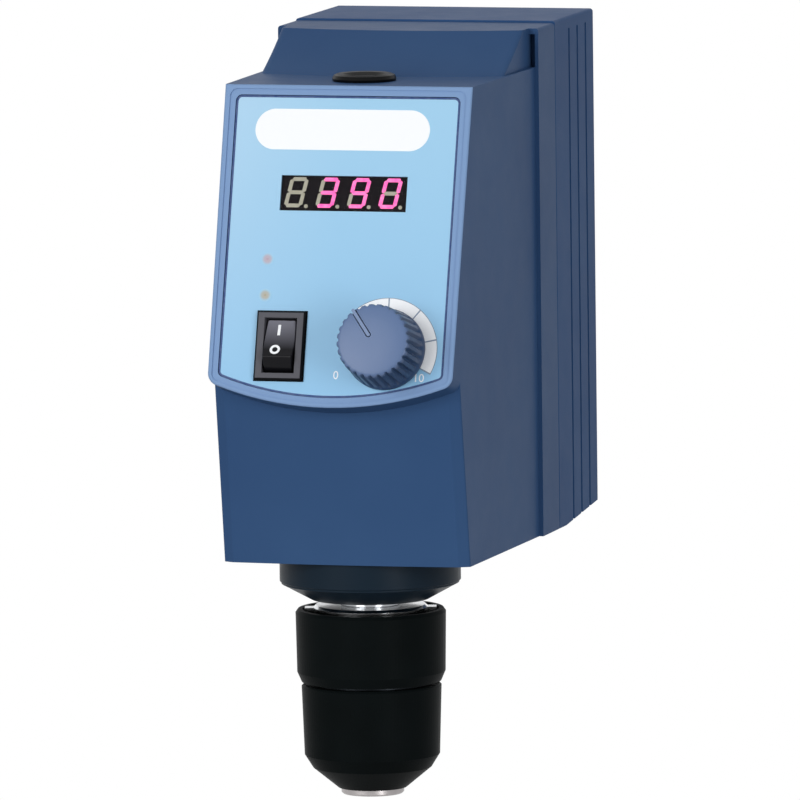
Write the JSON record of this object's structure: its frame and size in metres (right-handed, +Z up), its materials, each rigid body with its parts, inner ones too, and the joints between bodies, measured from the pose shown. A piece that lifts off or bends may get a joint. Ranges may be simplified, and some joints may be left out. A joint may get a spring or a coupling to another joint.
{
  "type": "overhead stirrer",
  "caption": "Laboratory overhead stirrer: geared hollow spindle with a self-centring jaw chuck, sloping control panel, and a rear socket for its support rod.",
  "frame": {"origin": "on the spindle axis at the lower end of the chuck jaws, jaws fully open", "axes": "+Z up along the spindle, +Y to the rear where the support rod leaves, +X to the right of someone facing the panel"},
  "size_m": [0.083, 0.1868, 0.2312],
  "materials": {
    "housing_paint": "fine moulded texture, slightly satin",
    "cover_paint": "fine moulded texture, slightly satin",
    "collar_paint": "satin enamel",
    "panel_film": "printed polyester film",
    "display_glass": "clear dark window",
    "display_face": "black face with seven-segment digits",
    "board": "solder mask",
    "black_plastic": "fine moulded texture",
    "switch_plastic": "smooth",
    "knob_plastic": "satin",
    "red_lamp": "frosted lens",
    "warm_lamp": "frosted lens",
    "cap_rubber": "smooth, shiny",
    "steel": "turned",
    "bright_chrome": "polished",
    "dark_steel": "blackened",
    "chuck_plastic": "finely ribbed",
    "cast_metal": "as cast",
    "motor_steel": "zinc plated",
    "lamination": "stacked sheet",
    "gear_brass": "cut",
    "component_plastic": "sleeved"
  },
  "bodies": {
    "housing": {"front_housing": "housing_paint", "rear_cover": "cover_paint", "nose_collar": "collar_paint", "frame": "cast_metal", "motor_plate": "motor_steel", "front_panel": "panel_film", "display_window": "display_glass", "display_module": "display_face", "panel_board": "board", "board_screws": "steel", "overload_lamp": "red_lamp", "power_lamp": "warm_lamp", "switch_body": "switch_plastic", "potentiometer": "motor_steel", "potentiometer_nut": "steel", "power_board": "board", "power_components": "component_plastic", "board_standoffs": "gear_brass", "power_board_screws": "steel", "inlet_socket": "black_plastic", "inlet_pins": "gear_brass", "inlet_screws": "steel", "fuse_holder": "black_plastic", "rod_socket": "steel", "rod_set_screws": "dark_steel", "rod_socket_screws": "dark_steel", "lower_bearing_outer": "steel", "upper_bearing_outer": "steel", "motor_can": "motor_steel", "motor_stator": "lamination", "motor_end_cap": "black_plastic", "motor_bushes": "gear_brass", "housing_screws": "dark_steel", "motor_screws": "steel", "frame_screws": "dark_steel", "motor_plate_screws": "dark_steel"},
    "spindle": {"spindle": "steel", "driven_gear": "gear_brass", "gear_set_screw": "dark_steel", "spindle_circlips": "dark_steel", "lower_bearing_inner": "steel", "upper_bearing_inner": "steel", "chuck_body": "dark_steel", "chuck_lock_ring": "bright_chrome", "chuck_rear_sleeve": "chuck_plastic"},
    "motor_armature": {"motor_rotor": "lamination", "motor_shaft": "steel", "motor_pinion": "steel"},
    "clamping_sleeve": {"chuck_sleeve": "chuck_plastic", "chuck_nut": "dark_steel"},
    "jaw_one": {"jaw_1": "steel"},
    "jaw_two": {"jaw_2": "steel"},
    "jaw_three": {"jaw_3": "steel"},
    "speed_control": {"speed_knob": "knob_plastic", "pot_shaft": "steel"},
    "power_rocker": {"switch_rocker": "switch_plastic"},
    "top_cap": {"shaft_cap": "cap_rubber"}
  },
  "joints": [
    {"name": "spindle_spin", "type": "hinge", "parent": "housing", "child": "spindle", "pos_m": [0, 0, 0.07], "axis": [0, 0, 1], "continuous": true},
    {"name": "motor_spin", "type": "hinge", "parent": "housing", "child": "motor_armature", "pos_m": [0, 0.032, 0.12], "axis": [0, 0, 1], "continuous": true},
    {"name": "sleeve_turn", "type": "hinge", "parent": "spindle", "child": "clamping_sleeve", "pos_m": [0, 0, 0.02], "axis": [0, 0, 1], "range_deg": [0, 3120]},
    {"name": "jaw_one_slide", "type": "slide", "parent": "spindle", "child": "jaw_one", "axis": [0, 0.2588, -0.9659], "range_m": [0, 0.0135]},
    {"name": "jaw_two_slide", "type": "slide", "parent": "spindle", "child": "jaw_two", "axis": [-0.2241, -0.1294, -0.9659], "range_m": [0, 0.0135]},
    {"name": "jaw_three_slide", "type": "slide", "parent": "spindle", "child": "jaw_three", "axis": [0.2241, -0.1294, -0.9659], "range_m": [0, 0.0135]},
    {"name": "speed_turn", "type": "hinge", "parent": "housing", "child": "speed_control", "pos_m": [0.0169, -0.04078, 0.14103], "axis": [0, -0.9588, 0.284], "range_deg": [-154.5, 83.5]},
    {"name": "power_rock", "type": "hinge", "parent": "housing", "child": "power_rocker", "pos_m": [-0.0162, -0.0383, 0.14092], "axis": [1, 0, 0], "range_deg": [0, 20]},
    {"name": "cap_lift", "type": "slide", "parent": "housing", "child": "top_cap", "axis": [0, 0, 1], "range_m": [0, 0.03]}
  ],
  "couplings": [
    {"joint": "motor_spin", "follows": "spindle_spin", "ratio": -3},
    {"joint": "jaw_one_slide", "follows": "sleeve_turn", "m_per_rad": 0.00024716},
    {"joint": "jaw_two_slide", "follows": "sleeve_turn", "m_per_rad": 0.00024716},
    {"joint": "jaw_three_slide", "follows": "sleeve_turn", "m_per_rad": 0.00024716}
  ]
}
